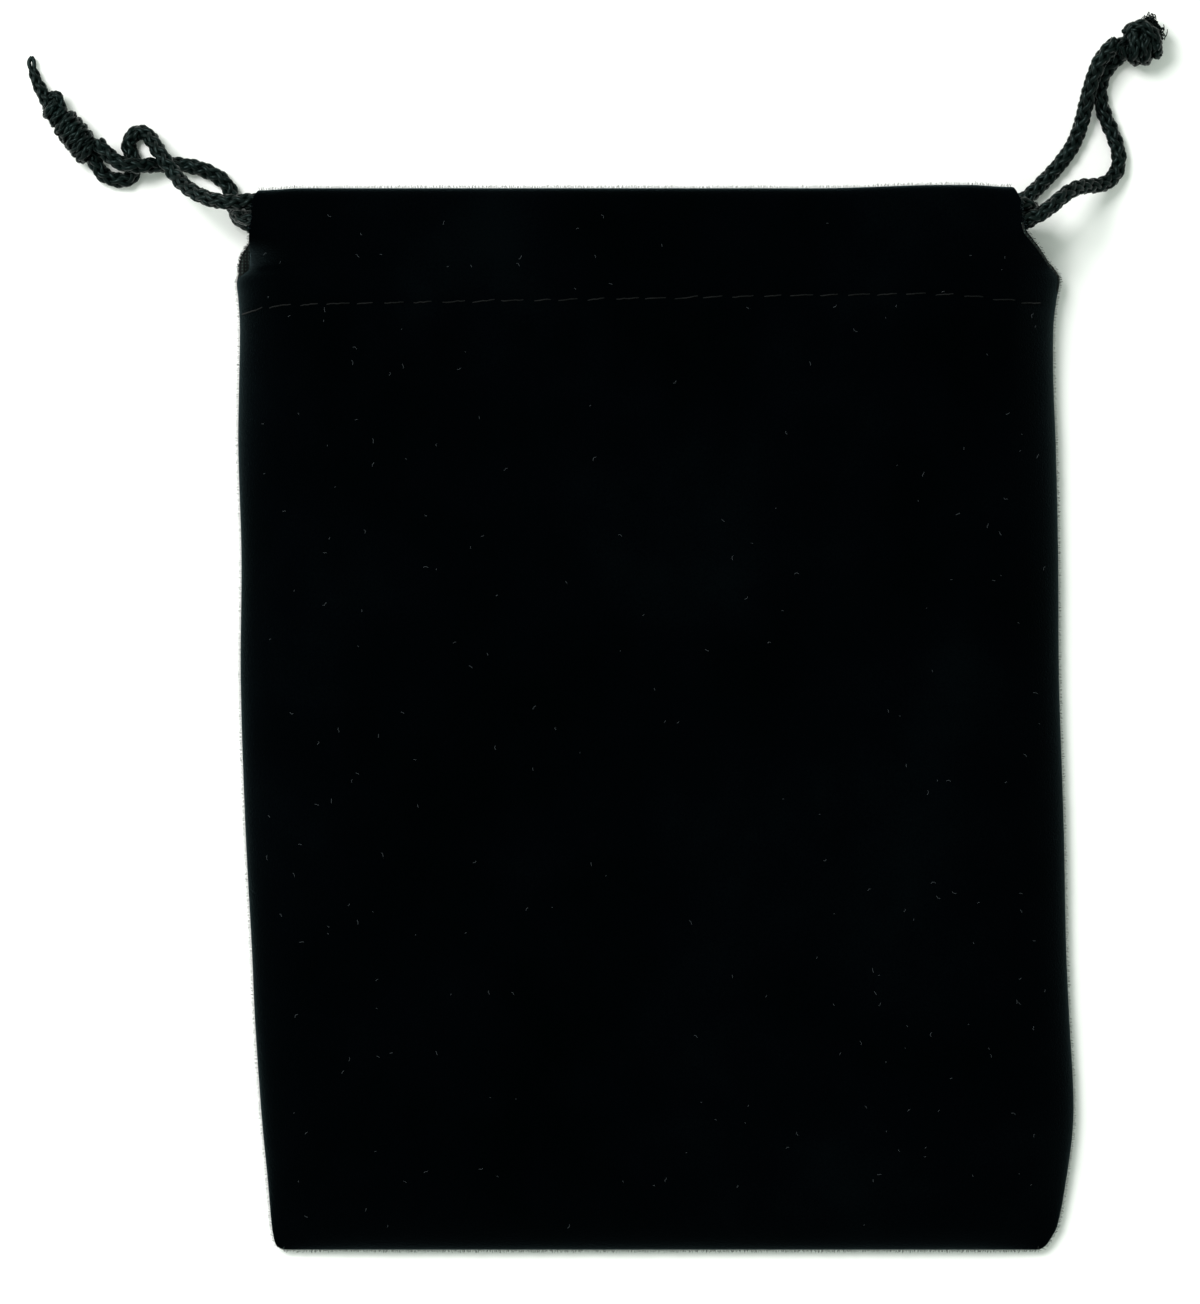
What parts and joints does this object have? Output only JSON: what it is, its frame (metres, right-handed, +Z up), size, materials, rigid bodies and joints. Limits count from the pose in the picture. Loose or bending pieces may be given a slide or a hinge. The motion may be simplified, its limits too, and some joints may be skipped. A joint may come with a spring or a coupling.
{
  "type": "drawstring pouch",
  "caption": "Flat velvet drawstring pouch for dice, lying on its back, with a stitched casing round the mouth and a knotted braided cord loop leaving each side.",
  "frame": {"origin": "middle of the bag, cords left out, on the surface that it lies on", "axes": "+Y from the bottom seam to the mouth, +X to the right seen from above with the mouth up, +Z up through the front panel"},
  "size_m": [0.1435, 0.1555, 0.0115],
  "materials": {
    "velvet": "black cotton-backed velvet with a short pile",
    "thread": "black polyester sewing thread",
    "cord": "black braided nylon cord with a soft sheen"
  },
  "bodies": {
    "bag": {"back_panel": "velvet", "front_panel": "velvet", "back_casing": "velvet", "front_casing": "velvet", "back_casing_stitching": "thread", "front_casing_stitching": "thread", "left_side_seam": "thread", "right_side_seam": "thread", "bottom_seam": "thread"},
    "left_drawstring": {"left_cord": "cord", "left_knot": "cord", "left_tail": "cord"},
    "right_drawstring": {"right_cord": "cord", "right_knot": "cord", "right_tuft": "cord"}
  },
  "joints": [
    {"name": "left_pull", "type": "slide", "parent": "bag", "child": "left_drawstring", "axis": [-1, 0, 0], "range_m": [0, 0.033], "deforming": ["front_casing", "back_casing", "front_casing_stitching", "back_casing_stitching"]},
    {"name": "right_pull", "type": "slide", "parent": "bag", "child": "right_drawstring", "axis": [1, 0, 0], "range_m": [0, 0.033], "deforming": ["front_casing", "back_casing", "front_casing_stitching", "back_casing_stitching"]}
  ]
}
